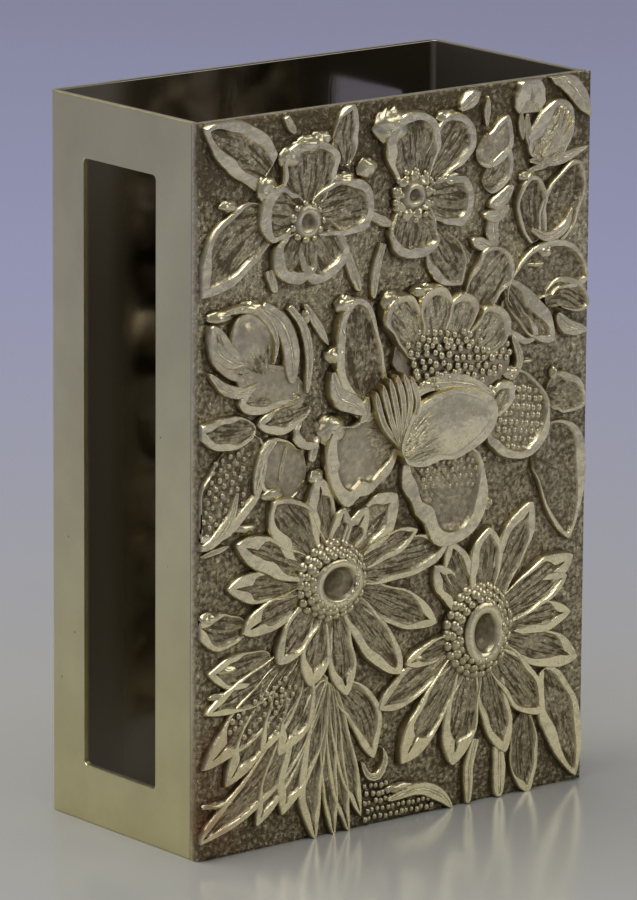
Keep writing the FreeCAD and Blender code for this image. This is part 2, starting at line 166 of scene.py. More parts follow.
def coat(piece, *materials):
    """Give a piece its materials, in order."""
    piece.data.materials.clear()
    for material in materials:
        piece.data.materials.append(material)


coat(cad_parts["folded_body"], satin_silver)

# Solder seams
# Two runs of hard silver solder between the front panel and the sides, with a small fillet in each corner.
# Solder is a little greyer than the sheet and was never polished inside.
solder_grey_hex = "#b5ad92"
solder_grain_mm = 0.4

silver_solder, tree, shader, place = new_metal("hard_silver_solder")
shader.inputs["Base Color"].default_value = linear(solder_grey_hex)
solder_rough = ramp(tree, noise(tree, place, solder_grain_mm), 0.3, 0.7, 0.35, 0.6)
tree.links.new(solder_rough, shader.inputs["Roughness"])
for node in ("solder_seam_left", "solder_seam_right"):
    coat(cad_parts[node], silver_solder)

# Primroses
# Two open flowers near the top, raised from behind in the front sheet and chased from the front.
# Each petal is a broad smooth band round a sunk middle with chased lines; rough knobs stand on the rims.
FRONT_SHEET_MM = 0.8
ROOT_MM = 0.3
PATTERN_SHIFT_SHARES = (-0.012, 0.003)
panel_low, panel_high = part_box("front_panel")
panel_width = panel_high.x - panel_low.x
panel_height = panel_high.z - panel_low.z
ground_y = panel_high.y - FRONT_SHEET_MM * MM

# Chased sterling silver: smooth pale bands on the high places, lined or punched and dark with tarnish below.
# Each point of the mesh keeps how worn it is, with a painted highlight on walls that face up and painted
# shade on the ground beside the forms mixed in, how strongly it is lined or punched, and its places across
# and along the lines.
SURFACE_MARKS = ("wear_and_painted_light", "lined", "strokes", "along", "punched")
bright_hex = "#e5dab1"
middling_hex = "#aca083"
tarnish_hex = "#74684e"
tool_mark_mm = 0.5
tarnish_patch_mm = 4.0
punch_mm = 0.5
dent_mm = 1.8
grain_mm = 0.3
tool_depth_mm = 0.09
copper_hex = "#8a5a3c"
copper_reach_mm = 8.0

chased_silver, tree, shader, place = new_metal("chased_sterling_silver")
wear_and_painted_light, lined, strokes, along, punched = (
    add_node(tree, "ShaderNodeAttribute", attribute_name=mark).outputs["Fac"] for mark in SURFACE_MARKS
)
blotches = noise(tree, place, tarnish_patch_mm, 5.0)
marks = noise(tree, place, tool_mark_mm, 4.0)
dents = noise(tree, place, dent_mm, 2.0)
grain = ramp(tree, noise(tree, place, grain_mm, 3.0, 0.7), 0.35, 0.65, -1.0, 1.0)


def chased_strokes(across_scale, along_scale, low, high):
    """Broken strokes that run along a petal or leaf, cut by hand with a chasing tool."""
    laid = add_node(tree, "ShaderNodeCombineXYZ", {
        0: sum_up(tree, "MULTIPLY", strokes, across_scale), 1: sum_up(tree, "MULTIPLY", along, along_scale),
    }).outputs[0]
    cuts = add_node(tree, "ShaderNodeTexNoise", {"Vector": laid, "Scale": 1.0, "Detail": 2.0}).outputs[0]
    return sum_up(tree, "MULTIPLY", ramp(tree, cuts, low, high), lined)


grooves = chased_strokes(1.6, 0.45, 0.52, 0.6)
glints = chased_strokes(4.0, 1.3, 0.52, 0.64)
punches = add_node(tree, "ShaderNodeTexVoronoi", {
    "Vector": place, "Scale": 1 / (punch_mm * MM), "Randomness": 0.8,
}).outputs["Distance"]
between_punches = sum_up(tree, "MULTIPLY", ramp(tree, punches, 0.25, 0.7), punched)


def weigh(*parts):
    """Add up values, each times its weight."""
    total = 0.0
    for value, weight in parts:
        total = sum_up(tree, "ADD", total, sum_up(tree, "MULTIPLY", value, weight))
    return total


shift = sum_up(
    tree, "ADD", ramp(tree, blotches, 0.3, 0.7, -0.12, 0.12), ramp(tree, marks, 0.3, 0.7, -0.13, 0.13),
)
worked = sum_up(tree, "MAXIMUM", sum_up(tree, "MULTIPLY", lined, 0.65), punched)
rough_grain = sum_up(tree, "MULTIPLY", grain, ramp(tree, worked, 0.0, 1.0, 0.0, 0.4))
cut = weigh((grooves, -0.55), (glints, 0.3), (between_punches, -0.38), (rough_grain, 1.0))
# Wear read from the mesh, with its painted highlight and painted shade, plus tarnish patches and tool cuts.
worn_and_painted_light = sum_up(tree, "ADD", sum_up(tree, "ADD", wear_and_painted_light, shift), cut)
tone = add_node(tree, "ShaderNodeValToRGB", {"Fac": worn_and_painted_light})
tone.color_ramp.elements[0].position = 0.02
tone.color_ramp.elements[0].color = linear(tarnish_hex)
tone.color_ramp.elements[1].position = 0.95
tone.color_ramp.elements[1].color = linear(bright_hex)
middle_tone = tone.color_ramp.elements.new(0.45)
middle_tone.color = linear(middling_hex)
corner = (panel_low.x, ground_y, panel_low.z + copper_reach_mm * MM / 2)
from_corner = add_node(
    tree, "ShaderNodeVectorMath", {0: place, 1: corner}, operation="DISTANCE",
).outputs["Value"]
near_corner = ramp(tree, from_corner, 0.2 * copper_reach_mm * MM, copper_reach_mm * MM, 0.6, 0.0)
coppery = sum_up(tree, "MULTIPLY", near_corner, ramp(tree, blotches, 0.4, 0.6))
tree.links.new(blend(tree, coppery, tone.outputs["Color"], linear(copper_hex)), shader.inputs["Base Color"])
tree.links.new(ramp(tree, worn_and_painted_light, 0.2, 0.95, 0.45, 0.26), shader.inputs["Roughness"])
surface = weigh(
    (grooves, -1.0), (glints, 0.5), (between_punches, -0.8), (rough_grain, 1.6), (marks, 0.4), (dents, 1.8),
)
tool_bump = add_node(tree, "ShaderNodeBump", {
    "Height": surface, "Strength": 0.8, "Distance": tool_depth_mm * MM,
})
tree.links.new(tool_bump.outputs[0], shader.inputs["Normal"])


def on_sheet(across_share, up_share):
    """A place on the front sheet from shares of its width and height, as (x, z) in metres."""
    return Vector((
        panel_low.x + (across_share + PATTERN_SHIFT_SHARES[0]) * panel_width,
        panel_low.z + (up_share + PATTERN_SHIFT_SHARES[1]) * panel_height,
    ))


def ease(value):
    """A smooth step from 0 to 1."""
    held = min(max(value, 0.0), 1.0)
    return held * held * (3 - 2 * held)


def along_path(points, share):
    """A place on a smooth curve through points."""
    spans = len(points) - 1
    first = min(int(share * spans), spans - 1)
    part = share * spans - first
    before, start, end, after = (points[min(max(first + step, 0), spans)] for step in (-1, 0, 1, 2))
    if first == 0:
        before = start * 2 - end
    if first == spans - 1:
        after = end * 2 - start
    return 0.5 * (
        start * 2 + (end - before) * part + (before * 2 - start * 5 + end * 4 - after) * part ** 2
        + (start * 3 - before - end * 3 + after) * part ** 3
    )


def new_forms():
    """An empty mesh for raised forms, with the marks of each point kept beside it."""
    bm = bmesh.new()
    for mark in SURFACE_MARKS:
        bm.verts.layers.float.new(mark)
    return bm


def within_edges(x, z):
    """A place held just within the edges of the front sheet."""
    edge = 0.02 * MM
    held_x = min(max(x, panel_low.x + edge), panel_high.x - edge)
    held_z = min(max(z, panel_low.z + edge), panel_high.z - edge)
    return held_x, held_z


def add_point(bm, x, level, z, wear_and_painted_light=1.0, lined=0.0, strokes=0.0, along=0.0, punched=0.0):
    """One point of the relief, held within the sheet's edges; the level is millimetres above the ground."""
    held_x, held_z = within_edges(x, z)
    vert = bm.verts.new((held_x, max(ground_y - level * MM, panel_low.y), held_z))
    for mark, value in zip(SURFACE_MARKS, (wear_and_painted_light, lined, strokes, along, punched)):
        vert[bm.verts.layers.float[mark]] = value
    return vert


def raise_form(
    bm, path, width, height, belly=0.6, foot_end=0.3, blunt=0.6, left=0.7, right=0.7, tip=0.9, taper=0.4,
    floor=0.5, crown=0.1, lines=4, fade=1.3, punch=0.0, rise=0.6, lean=0.0, shine=0.95, waver=0.05, steps=22,
):
    """Raise one petal or leaf: a flat smooth band that follows its outline round a sunk, chased middle.

    The path runs from the foot to the tip in shares of the sheet, and sizes are millimetres. The belly is
    where the form is widest, a blunt of 0.5 makes a round end, left, right and tip are the widths of the
    band, and the chased lines end at the share named fade.
    """
    wall_mm = 0.17
    bevel_mm = 0.12
    widest_band = 0.92
    spine_start = 0.02
    near_by = 0.02
    points = [on_sheet(*share) for share in path]
    length = sum((end - start).length for start, end in zip(points, points[1:])) / MM
    spine_end = 1 - min(0.45, 0.4 * width / length)
    hand_work = random.Random(round(path[-1][0] * 1000) * 1000 + round(path[-1][1] * 1000))
    starts = {hand: (hand_work.uniform(0, 6), hand_work.uniform(0, 6)) for hand in (1, -1)}
    own_place = hand_work.uniform(0, 300)

    def heading_at(share):
        """The way that the path runs at a share of its length."""
        ahead = along_path(points, min(share + near_by, 1.0)) - along_path(points, max(share - near_by, 0.0))
        return ahead.normalized()

    outline = []
    for step in list(range(steps + 1)) + list(range(steps - 1, -1, -1)):
        along = (1 - math.cos(math.pi * step / steps)) / 2
        hand = 1 if len(outline) <= steps else -1
        heading = heading_at(along)
        if along < belly:
            swell = foot_end + (1 - foot_end) * (1 - ((belly - along) / belly) ** 2) ** 0.7
        else:
            swell = max(1 - ((along - belly) / (1 - belly)) ** 2, 0.0) ** blunt
        sway = math.sin(along * 8 + starts[hand][0]) + 0.6 * math.sin(along * 17 + starts[hand][1])
        swell *= 1 + waver * sway
        border = along_path(points, along) + Vector((-heading.y, heading.x)) * hand * swell * width / 2 * MM
        anchor_share = spine_start + (spine_end - spine_start) * along
        straight_on = heading_at(anchor_share)
        aside = Vector((-straight_on.y, straight_on.x))
        outline.append((along, hand, border, anchor_share, along_path(points, anchor_share), aside))
    rings = []
    for ring in range(11):
        verts = []
        for along, hand, border, anchor_share, anchor, aside in outline:
            reach = max((anchor - border).length / MM, 0.01)
            side = (left if hand > 0 else right) * (taper + (1 - taper) * ease(along / 0.6))
            band = min(side + (tip - side) * ease((along - 0.65) / 0.3), widest_band * reach)
            band *= 1 + 2 * waver * math.sin(along * 11 + starts[hand][1])
            band = min(band, widest_band * reach)
            wall = min(wall_mm, 0.35 * band)
            crest = height * (rise + (1 - rise) * ease(along * 1.3)) * (1 + lean * hand * (1 - along * along))
            low = crest * floor
            if ring < 5:
                turn = math.radians(22.5 * ring)
                inward = wall * (1 - math.cos(turn))
                level = -ROOT_MM + (crest + ROOT_MM) * math.sin(turn)
                # The wall darkens towards its foot; where it faces up it is made lighter, a painted highlight
                # from the overhead light.
                foot_tone_and_painted_light = 0.12 + 0.4 * max((border - anchor).y / reach / MM, 0.0)
                marks = (foot_tone_and_painted_light + (shine - foot_tone_and_painted_light) * ease(level / crest - 0.1), 0.0, 0.0)
            elif ring == 5:
                inward, level, marks = max(wall, band - bevel_mm), crest, (shine, 0.0, 0.0)
            elif ring == 6:
                inward, level, marks = band, low + (crest - low) * 0.35, (shine * 0.7, 0.3, punch * 0.3)
            else:
                part = (ring - 7) / 3
                start = min(band + 0.1, reach)
                inward = start + (reach - start) * part
                level = low + crown * math.sin(part * math.pi / 2)
                solid = ease((floor - 0.75) / 0.25)
                sunk = 0.34 + 0.3 * floor + 0.08 * part
                marks = (sunk + (shine - sunk) * solid, 1.0 if lines else 0.0, punch)
            inner_share = min(inward / reach, 1.0)
            spot = border + (anchor - border) * inner_share
            share_here = along + (anchor_share - along) * inner_share
            off_spine = (spot - anchor).dot(aside) / (width / 2 * MM)
            spread = 0.45 + 0.55 * ease(share_here / 0.5)
            lined = marks[1] * (1 - ease((share_here - fade) / 0.25))
            strokes = off_spine * max(lines, 2.5) / spread
            stroke_along = own_place + share_here * length
            verts.append(add_point(
                bm, spot.x, level, spot.y, marks[0], lined, strokes, stroke_along, marks[2],
            ))
        rings.append(verts)
    count = len(outline)
    for outer, inner in zip(rings, rings[1:]):
        for place in range(count):
            after = (place + 1) % count
            bm.faces.new((outer[place], outer[after], inner[after], inner[place]))
    for ring in (4, 5) if floor < 0.85 else (4,):
        for place in range(count):
            bm.edges.get((rings[ring][place - 1], rings[ring][place])).smooth = False
    bm.faces.new(rings[0])
    inner = rings[-1]
    facing_pairs = {inner[count - 1 - place]: inner[place] for place in range(count // 2)}
    bmesh.ops.weld_verts(bm, targetmap=facing_pairs)
    spine = [inner[place] for place in range(count // 2 + 1)]
    bmesh.ops.remove_doubles(bm, verts=spine, dist=0.001 * MM)


def set_bead(bm, x, z, level, radius, facing=(0, -1, 0), shine=0.95):
    """Punch up one uneven flattened bead; its place is in metres, its level and radius in millimetres."""
    level_play_mm = 0.06
    place_play_mm = 0.07
    flattening = 0.65
    hand_work = random.Random(round(x / MM * 1000) * 100003 + round(z / MM * 1000))
    radius *= hand_work.uniform(0.82, 1.12)
    level += hand_work.uniform(-level_play_mm, level_play_mm)
    x += hand_work.uniform(-place_play_mm, place_play_mm) * MM
    z += hand_work.uniform(-place_play_mm, place_play_mm) * MM
    middle = max(ground_y - level * MM, panel_low.y + radius * MM)
    spot = Matrix.Translation((x, middle, z)) @ Matrix.Scale(flattening, 4, Vector(facing))
    made = bmesh.ops.create_uvsphere(bm, u_segments=9, v_segments=6, radius=radius * MM, matrix=spot)["verts"]
    for vert in made:
        outward = (middle - vert.co.y) / (radius * MM)
        vert.co.x, vert.co.z = within_edges(vert.co.x, vert.co.z)
        vert[bm.verts.layers.float["wear_and_painted_light"]] = shine * ease(0.45 + 0.55 * outward)


def set_knob(bm, across, up, wide, tall, level):
    """A crumpled lump on a rim, from its place in shares and its spans in millimetres."""
    crumple_mm = 0.38
    crumple_depth = 0.7
    wide_share = 0.6
    tall_share = 0.65
    middle = on_sheet(across, up)
    made = bmesh.ops.create_uvsphere(bm, u_segments=20, v_segments=14, radius=MM)["verts"]
    for vert in made:
        x = middle.x + vert.co.x * wide * wide_share
        z = middle.y + vert.co.z * tall * tall_share
        swell = 1 + crumple_depth * rough_noise.noise(Vector((x, vert.co.y, z)) / (crumple_mm * MM))
        x = middle.x + (x - middle.x) * (0.6 + 0.4 * swell)
        z = middle.y + (z - middle.y) * (0.6 + 0.4 * swell)
        y = ground_y - (level - ROOT_MM) / 2 * MM + vert.co.y * (level + ROOT_MM) / 2 * min(swell, 1.15)
        vert[bm.verts.layers.float["wear_and_painted_light"]] = ease((ground_y - y) / MM / level + 0.15)
        held_x, held_z = within_edges(x, z)
        vert.co = (held_x, max(y, panel_low.y), held_z)


def set_knobs(bm, knobs):
    """Crumpled lumps, one for each row of place, spans and level."""
    for knob in knobs:
        set_knob(bm, *knob)


def turn_boss(bm, heart, profile, tall=1.0, tall_inside=None, punch=0.0, steps=44):
    """Raise a round boss about a heart from (radius, level, wear) points in millimetres."""
    centre = on_sheet(*heart)
    rings = []
    for place, (radius, level, shine) in enumerate(profile[:-1]):
        part = place / (len(profile) - 1)
        stretch = tall if tall_inside is None else tall + (tall_inside - tall) * ease(part)
        rings.append([
            add_point(
                bm, centre.x + radius * MM * math.cos(2 * math.pi * step / steps), level,
                centre.y + stretch * radius * MM * math.sin(2 * math.pi * step / steps), shine,
                punched=punch * ease(part * 2 - 1),
            )
            for step in range(steps)
        ])
    for outer, inner in zip(rings, rings[1:]):
        for step in range(steps):
            after = (step + 1) % steps
            bm.faces.new((outer[step], outer[after], inner[after], inner[step]))
    top = add_point(bm, centre.x, profile[-1][1], centre.y, profile[-1][2], punched=punch)
    for step in range(steps):
        bm.faces.new((rings[-1][step], rings[-1][(step + 1) % steps], top))
    bm.faces.new(rings[0])


def ring_of_beads(bm, heart, count, reach, level, radius, tall=1.0, start=0.0):
    """Beads in a ring about a heart, each facing outward down the slope; sizes in millimetres."""
    centre = on_sheet(*heart)
    slope = math.radians(50)
    for place in range(count):
        angle = 2 * math.pi * (place + start) / count
        facing = (math.cos(angle) * math.sin(slope), -math.cos(slope), math.sin(angle) * math.sin(slope))
        x = centre.x + reach * MM * math.cos(angle)
        z = centre.y + tall * reach * MM * math.sin(angle)
        set_bead(bm, x, z, level, radius, facing)


raised_meshes = []


def add_piece(name, mesh):
    """Put a mesh into the scene."""
    piece = bpy.data.objects.new(name, mesh)
    bpy.context.scene.collection.objects.link(piece)
    return piece


def hang_on_panel(name, bm):
    """Finish raised forms as one piece of the front panel."""
    bmesh.ops.recalc_face_normals(bm, faces=bm.faces)
    mesh = bpy.data.meshes.new(name)
    bm.to_mesh(mesh)
    raised_meshes.append(bm)
    for polygon in mesh.polygons:
        polygon.use_smooth = True
    piece = add_piece(name, mesh)
    coat(piece, chased_silver)
    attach(piece, "root")
    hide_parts("front_panel")


def primrose_petals(bm, petals):
    """Petals of a primrose, from rows of foot, end, width, height and the three widths of the band."""
    for foot, end, width, height, left, right, tip in petals:
        raise_form(
            bm, [foot, end], width, height, left=left, right=right, tip=tip, belly=0.62, foot_end=0.45,
            blunt=0.42, floor=0.55, crown=0.15, punch=0.35,
        )


forms = new_forms()
primrose_petals(forms, [
    ((0.274, 0.872), (0.28, 0.96), 5.4, 0.69, 0.6, 0.8, 0.9),
    ((0.282, 0.856), (0.438, 0.864), 4.5, 0.76, 0.8, 0.8, 0.9),
    ((0.28, 0.842), (0.338, 0.77), 4.8, 0.73, 0.6, 0.9, 1.0),
    ((0.265, 0.842), (0.222, 0.768), 4.2, 0.69, 0.6, 1.1, 1.1),
    ((0.262, 0.856), (0.15, 0.872), 4.2, 0.73, 0.8, 0.8, 1.1),
])
turn_boss(forms, (0.274, 0.849), [
    (1.5, -0.2, 0.0), (1.45, 0.35, 0.15), (1.2, 0.55, 0.5), (0.95, 0.6, 0.9), (0.7, 0.6, 0.9),
    (0.5, 0.4, 0.2), (0.25, 0.32, 0.15), (0.0, 0.32, 0.2),
])
ring_of_beads(forms, (0.272, 0.849), 11, 1.45, 0.42, 0.34)
set_knobs(forms, [
    (0.172, 0.9, 1.6, 1.5, 0.8), (0.232, 0.938, 2.0, 1.3, 0.76), (0.272, 0.952, 2.4, 1.1, 0.78),
    (0.306, 0.957, 1.6, 0.9, 0.72), (0.362, 0.898, 1.8, 0.9, 0.8), (0.425, 0.908, 1.7, 1.2, 0.6),
])
hang_on_panel("primrose_left", forms)

forms = new_forms()
primrose_petals(forms, [
    ((0.545, 0.878), (0.532, 0.978), 5.2, 0.73, 1.1, 0.8, 0.9),
    ((0.585, 0.888), (0.684, 0.958), 4.1, 0.66, 0.5, 0.8, 0.9),
    ((0.58, 0.856), (0.696, 0.84), 4.0, 0.69, 0.8, 0.8, 0.9),
    ((0.548, 0.85), (0.538, 0.775), 4.8, 0.73, 0.6, 0.6, 1.0),
])
turn_boss(forms, (0.543, 0.863), [
    (1.8, -0.2, 0.0), (1.75, 0.25, 0.1), (1.3, 0.45, 0.15), (1.0, 0.6, 0.5), (0.85, 0.68, 0.9),
    (0.6, 0.68, 0.9), (0.45, 0.45, 0.1), (0.2, 0.36, 0.1), (0.0, 0.36, 0.1),
], tall=0.9)
set_knobs(forms, [
    (0.581, 0.866, 0.9, 0.8, 0.68), (0.57, 0.881, 0.9, 0.8, 0.7), (0.545, 0.889, 0.9, 0.8, 0.72),
    (0.52, 0.882, 1.0, 0.8, 0.72), (0.506, 0.867, 0.9, 0.9, 0.7), (0.508, 0.85, 0.9, 0.8, 0.68),
    (0.528, 0.838, 0.9, 0.8, 0.66), (0.554, 0.837, 0.9, 0.8, 0.66), (0.575, 0.848, 0.9, 0.8, 0.66),
])
ring_of_beads(forms, (0.543, 0.863), 13, 1.9, 0.36, 0.32)
set_knobs(forms, [
    (0.485, 0.96, 2.8, 2.0, 0.79), (0.625, 0.963, 1.6, 0.8, 0.69), (0.64, 0.878, 1.4, 0.8, 0.69),
    (0.52, 0.82, 0.7, 0.6, 0.46), (0.55, 0.812, 0.7, 0.6, 0.49), (0.575, 0.818, 0.7, 0.7, 0.46),
])
hang_on_panel("primrose_right", forms)

# Daisies
# Two large many-petalled flowers in the lower half. Each petal is a smooth band, mostly broadest at the tip,
# round a chased middle; the heart is a boss with rows of beads round a flat ring and a dimple.
petal_foot_share = 0.22
petal_mm = 0.6
petal_step_mm = 0.07
petal_lean = 0.25
daisy = dict(foot_end=0.55, blunt=0.75, floor=0.6, crown=0.2, punch=0.25, rise=0.7)
daisies = {
    "daisy_left": ((0.34, 0.353), 0.92, (2.35, 0.8, 1.55, 0.8), [
        (0.075, 0.367, 2.6, 0.5, 0.6, 2.2), (0.11, 0.303, 2.6, 0.8, 0.4, 1.6),
        (0.2, 0.25, 2.8, 0.5, 0.6, 0.9), (0.285, 0.209, 3.1, 0.5, 0.6, 1.1),
        (0.379, 0.186, 2.6, 0.5, 0.6, 1.1), (0.52, 0.203, 3.2, 0.6, 1.1, 0.8),
        (0.615, 0.264, 3.0, 0.5, 0.6, 1.0), (0.64, 0.372, 3.3, 0.3, 0.8, 0.8),
        (0.56, 0.403, 2.2, 0.3, 0.7, 0.7), (0.508, 0.458, 3.6, 0.5, 1.2, 1.2),
        (0.43, 0.448, 2.3, 0.8, 0.6, 1.6), (0.368, 0.454, 2.0, 0.7, 0.5, 1.2),
        (0.302, 0.502, 2.8, 1.1, 0.4, 1.4), (0.188, 0.478, 4.0, 1.3, 0.5, 0.6),
        (0.095, 0.428, 2.9, 1.2, 0.6, 1.8),
    ]),
    "daisy_right": ((0.722, 0.243), 1.12, (2.0, 1.2, 1.1, 1.6), [
        (0.605, 0.347, 2.4, 0.9, 0.4, 1.2), (0.642, 0.378, 2.6, 0.4, 0.8, 0.8),
        (0.748, 0.388, 3.4, 1.0, 0.6, 0.8), (0.865, 0.412, 2.9, 0.9, 0.5, 1.1),
        (0.975, 0.325, 3.0, 0.5, 0.6, 1.7), (0.958, 0.298, 2.5, 0.6, 0.5, 0.8),
        (0.973, 0.243, 2.6, 0.3, 0.9, 1.0), (0.99, 0.175, 3.1, 0.4, 0.9, 1.3),
        (0.898, 0.104, 3.3, 0.7, 0.6, 0.8), (0.8, 0.058, 3.2, 0.6, 0.7, 1.1),
        (0.655, 0.056, 3.3, 0.5, 0.8, 1.5), (0.518, 0.075, 3.2, 0.5, 0.6, 2.0),
        (0.46, 0.158, 2.8, 0.5, 0.7, 0.8), (0.528, 0.214, 2.0, 0.5, 0.5, 0.9),
    ]),
}
for name, (heart, tall, ring, petals) in daisies.items():
    forms = new_forms()
    for place, (across, up, width, left, right, tip) in enumerate(petals):
        foot = [middle + (end - middle) * petal_foot_share for middle, end in zip(heart, (across, up))]
        height = petal_mm + petal_step_mm * (place % 3 - 1)
        lean = petal_lean * (-1) ** place
        raise_form(
            forms, [foot, (across, up)], width, height, left=left, right=right, tip=tip, lean=lean, **daisy,
        )
    turn_boss(forms, heart, [
        (3.3, -0.2, 0.15), (3.25, 0.25, 0.15), (2.9, 0.45, 0.15), (2.5, 0.65, 0.15), (2.0, 0.8, 0.2),
        (0.0, 0.2, 0.3),
    ], tall)
    ring_of_beads(forms, heart, 26, 3.1, 0.42, 0.44, tall)
    ring_of_beads(forms, heart, 23, 2.62, 0.62, 0.44, tall, start=0.5)
    ring_of_beads(forms, heart, 19, 2.2, 0.78, 0.4, tall)
    outer, ring_tall, inner, dimple_tall = ring
    turn_boss(forms, (heart[0] + 0.01, heart[1] - 0.004), [
        (outer + 0.05, 0.5, 0.1), (outer, 0.92, 0.6), (outer - 0.12, 1.0, 0.95), (inner + 0.1, 1.0, 0.95),
        (inner, 0.93, 0.7), (inner * 0.88, 0.7, 0.3), (inner * 0.65, 0.45, 0.35), (inner * 0.35, 0.3, 0.5),
        (0.0, 0.25, 0.55),
    ], ring_tall, tall_inside=dimple_tall, punch=0.5)
    hang_on_panel(name, forms)

# Poppy
# The large flower in the middle: an open cup full of seeds behind a smooth rolled petal, with broad
# petals spread round it. It stands highest of all.
bead_row_share = 0.0115


def raise_band(bm, path, width, height, **changes):
    """Raise one smooth tapered stroke."""
    style = dict(
        belly=0.5, foot_end=0.2, blunt=0.7, left=width, right=width, tip=width, taper=1.0, floor=1.0,
        crown=0.0, lines=0, rise=0.85, steps=14,
    )
    raise_form(bm, path, width, height, **{**style, **changes})


def bead_on_sheet(bm, across, up, level, radius, shine=0.95):
    """One bead at a place in shares of the sheet."""
    spot = on_sheet(across, up)
    set_bead(bm, spot.x, spot.y, level, radius, shine=shine)


def oval(across, up, middle, reach):
    """The squared distance of a place from the middle of an oval, 1 on its edge."""
    return ((across - middle[0]) / reach[0]) ** 2 + ((up - middle[1]) / reach[1]) ** 2


forms = new_forms()
broad = dict(blunt=0.5, floor=0.6)
raise_form(
    forms, [(0.455, 0.57), (0.405, 0.64), (0.395, 0.738)], 4.6, 0.83, left=1.0, right=0.5, tip=0.7,
    belly=0.55, foot_end=0.5, taper=1.3, lines=3, punch=0.8, **broad,
)
raise_band(forms, [(0.335, 0.64), (0.35, 0.605), (0.39, 0.59), (0.42, 0.572)], 1.7, 0.86)
raise_band(forms, [(0.425, 0.598), (0.418, 0.575), (0.402, 0.563)], 1.0, 0.79)
for foot, end, width in (
    ((0.565, 0.65), (0.474, 0.727), 3.4), ((0.602, 0.655), (0.586, 0.738), 3.3),
    ((0.64, 0.65), (0.674, 0.722), 2.9), ((0.69, 0.63), (0.772, 0.69), 3.5),
):
    raise_form(
        forms, [foot, end], width, 1.15, blunt=0.5, belly=0.7, foot_end=0.7, left=0.5, right=0.5, tip=0.8,
        taper=0.8, floor=0.88, lines=3, punch=0.15,
    )
raise_band(forms, [(0.8, 0.65), (0.82, 0.615), (0.8, 0.585)], 0.9, 0.72)
raise_form(
    forms, [(0.51, 0.525), (0.41, 0.515), (0.32, 0.5)], 6.6, 0.8, left=1.4, right=0.4, tip=1.3, belly=0.7,
    foot_end=0.1, taper=0.7, lines=2, fade=0.2, waver=0.09, **broad,
)
raise_form(
    forms, [(0.535, 0.512), (0.62, 0.46), (0.7, 0.382)], 7.2, 0.79, left=0.6, right=1.6, tip=1.3, belly=0.65,
    foot_end=0.15, taper=0.8, lines=6, fade=0.4, punch=0.3, waver=0.09, **broad,
)
raise_form(
    forms, [(0.74, 0.585), (0.815, 0.535), (0.865, 0.478)], 6.4, 0.76, left=0.5, right=0.9, tip=0.9,
    belly=0.55, foot_end=0.4, taper=0.9, lines=0, punch=0.6, **broad,
)
raise_form(
    forms, [(0.495, 0.652), (0.795, 0.612)], 5.4, 0.68, belly=0.5, foot_end=0.3, blunt=0.5, left=2.6,
    right=2.6, tip=2.6, floor=1.0, crown=0.0, lines=0, shine=0.42,
)
for across, up, height in (
    (0.436, 0.606, 1.1), (0.451, 0.615, 1.2), (0.467, 0.622, 1.25), (0.484, 0.626, 1.3), (0.501, 0.627, 1.35),
    (0.519, 0.621, 1.4),
):
    path = [(0.503, 0.522), (across + 0.02, up - 0.045), (across, up)]
    raise_band(forms, path, 0.72, height, belly=0.75, foot_end=0.35)
raise_band(forms, [(0.53, 0.585), (0.59, 0.602), (0.68, 0.594), (0.748, 0.573)], 1.5, 0.97)
raise_form(
    forms, [(0.72, 0.535), (0.802, 0.585)], 2.4, 0.86, blunt=0.55, left=0.6, right=0.6, tip=0.9, floor=0.8,
    lines=1,
)
raise_form(
    forms, [(0.505, 0.51), (0.61, 0.542), (0.75, 0.552)], 5.6, 1.45, belly=0.55, foot_end=0.25, blunt=0.5,
    left=0.7, right=0.7, tip=0.9, taper=1.0, floor=1.0, crown=0.15, lines=5, fade=0.22, rise=0.85, steps=30,
)
seeds = random.Random(7)
for row in range(8):
    for place in range(15):
        across = 0.515 + place * 0.019 + row * 0.006
        up = 0.682 - row * bead_row_share - place * 0.0022
        dome = 1 - oval(across, up, (0.645, 0.637), (0.155, 0.058))
        if dome > 0:
            across += seeds.uniform(-0.004, 0.004)
            up += seeds.uniform(-0.003, 0.003)
            bead_on_sheet(forms, across, up, 0.62 + 0.22 * math.sqrt(dome), 0.3, shine=1.1)
for row in range(8):
    for place in range(9):
        across = 0.765 + place * 0.0145 - row * 0.002
        up = 0.580 - row * bead_row_share - place * 0.002
        if oval(across, up, (0.825, 0.532), (0.062, 0.05)) < 1:
            bead_on_sheet(forms, across, up, 0.42, 0.29, shine=1.1)
for row in range(4):
    for place in range(12):
        across = 0.562 + place * 0.0155 + row * 0.006
        up = 0.493 - row * bead_row_share - place * 0.001
        if across < 0.745 - row * 0.012:
            bead_on_sheet(forms, across, up, 0.44, 0.25)
set_knobs(forms, [
    (0.372, 0.728, 1.8, 1.1, 0.9), (0.358, 0.69, 0.8, 2.0, 0.88), (0.345, 0.662, 1.7, 1.0, 0.86),
    (0.48, 0.722, 1.4, 1.4, 1.2), (0.565, 0.732, 1.8, 0.8, 1.2), (0.58, 0.602, 1.4, 0.7, 1.05),
    (0.746, 0.576, 0.8, 0.8, 1.0), (0.8, 0.596, 1.2, 1.0, 0.9), (0.338, 0.56, 2.2, 1.8, 0.88),
    (0.712, 0.69, 1.2, 0.5, 0.79), (0.745, 0.42, 0.6, 0.9, 0.72), (0.918, 0.585, 0.7, 0.9, 0.58),
])
hang_on_panel("poppy", forms)

